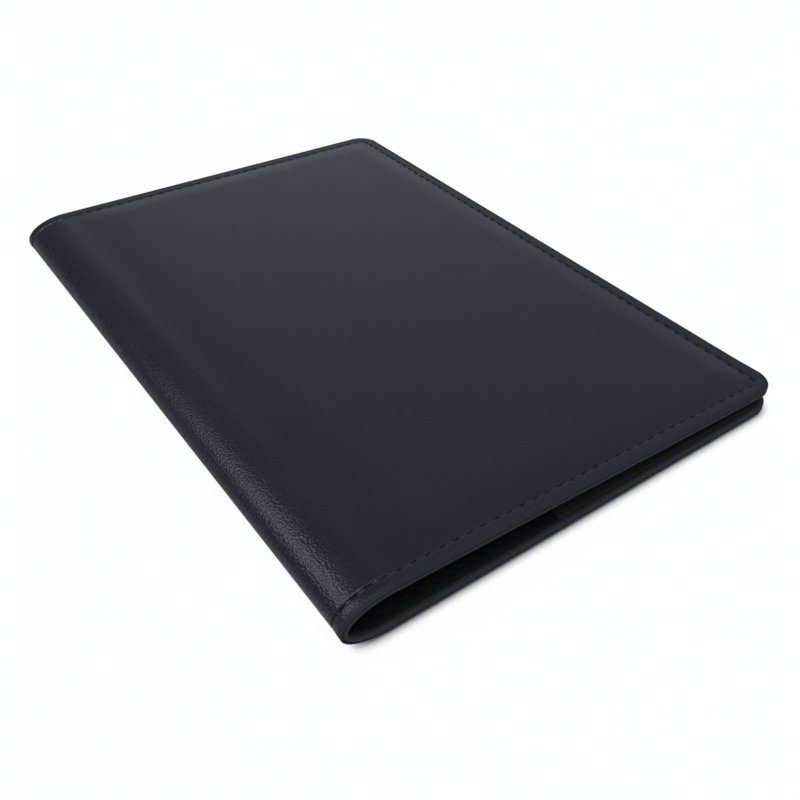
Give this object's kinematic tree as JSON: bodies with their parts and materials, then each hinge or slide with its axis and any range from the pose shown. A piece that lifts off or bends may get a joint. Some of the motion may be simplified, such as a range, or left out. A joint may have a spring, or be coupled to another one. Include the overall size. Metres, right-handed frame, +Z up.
{
  "type": "travel document holder",
  "caption": "Passport-size bi-fold cover of padded black leather, lying closed, with a soft round fold, a sewn border, a passport sleeve and card slots inside.",
  "frame": {"origin": "on the surface it lies on, under the middle of the closed holder", "axes": "+X from the fold to the free edges, +Y along the fold from the near end to the far end, +Z up"},
  "size_m": [0.1003, 0.146, 0.0104],
  "materials": {
    "outer_leather": "satin",
    "pocket_leather": "satin",
    "lining_cloth": "matte",
    "padding_foam": "matte",
    "stiffener_board": "matte",
    "sewing_thread": "matte"
  },
  "bodies": {
    "back_cover": {"back_leather_panel": "outer_leather", "back_foam_pad": "padding_foam", "back_stiffener_board": "stiffener_board", "back_lining": "lining_cloth", "back_edge_stitching": "sewing_thread", "passport_sleeve": "pocket_leather"},
    "front_cover": {"front_leather_panel": "outer_leather", "front_foam_pad": "padding_foam", "front_stiffener_board": "stiffener_board", "front_lining": "lining_cloth", "front_edge_stitching": "sewing_thread", "boarding_pass_pocket": "pocket_leather", "card_slot_1": "pocket_leather", "card_slot_2": "pocket_leather", "card_slot_3": "pocket_leather"},
    "fold_strip_1": {"fold_leather_1": "outer_leather", "fold_lining_1": "lining_cloth", "fold_stitching_near_1": "sewing_thread", "fold_stitching_far_1": "sewing_thread"},
    "fold_strip_2": {"fold_leather_2": "outer_leather", "fold_lining_2": "lining_cloth", "fold_stitching_near_2": "sewing_thread", "fold_stitching_far_2": "sewing_thread"},
    "fold_strip_3": {"fold_leather_3": "outer_leather", "fold_lining_3": "lining_cloth", "fold_stitching_near_3": "sewing_thread", "fold_stitching_far_3": "sewing_thread"},
    "fold_strip_4": {"fold_leather_4": "outer_leather", "fold_lining_4": "lining_cloth", "fold_stitching_near_4": "sewing_thread", "fold_stitching_far_4": "sewing_thread"}
  },
  "joints": [
    {"name": "back_to_fold_turn", "type": "hinge", "parent": "back_cover", "child": "fold_strip_1", "pos_m": [-0.041, 0, 0.00065], "axis": [0, -1, 0], "range_deg": [0, 13.6]},
    {"name": "lower_fold_turn", "type": "hinge", "parent": "fold_strip_1", "child": "fold_strip_2", "pos_m": [-0.04789, 0, 0.00231], "axis": [0, -1, 0], "range_deg": [0, 41.34]},
    {"name": "nose_fold_turn", "type": "hinge", "parent": "fold_strip_2", "child": "fold_strip_3", "pos_m": [-0.05, 0, 0.0053], "axis": [0, -1, 0], "range_deg": [0, 70.38]},
    {"name": "upper_fold_turn", "type": "hinge", "parent": "fold_strip_3", "child": "fold_strip_4", "pos_m": [-0.04789, 0, 0.00829], "axis": [0, -1, 0], "range_deg": [0, 42.87]},
    {"name": "front_cover_turn", "type": "hinge", "parent": "fold_strip_4", "child": "front_cover", "pos_m": [-0.04018, 0, 0.00993], "axis": [0, -1, 0], "range_deg": [0, 14.72]}
  ],
  "couplings": [
    {"joint": "back_to_fold_turn", "follows": "front_cover_turn", "ratio": 0.92024},
    {"joint": "lower_fold_turn", "follows": "front_cover_turn", "ratio": 2.8051},
    {"joint": "nose_fold_turn", "follows": "front_cover_turn", "ratio": 4.7776},
    {"joint": "upper_fold_turn", "follows": "front_cover_turn", "ratio": 2.9091}
  ]
}
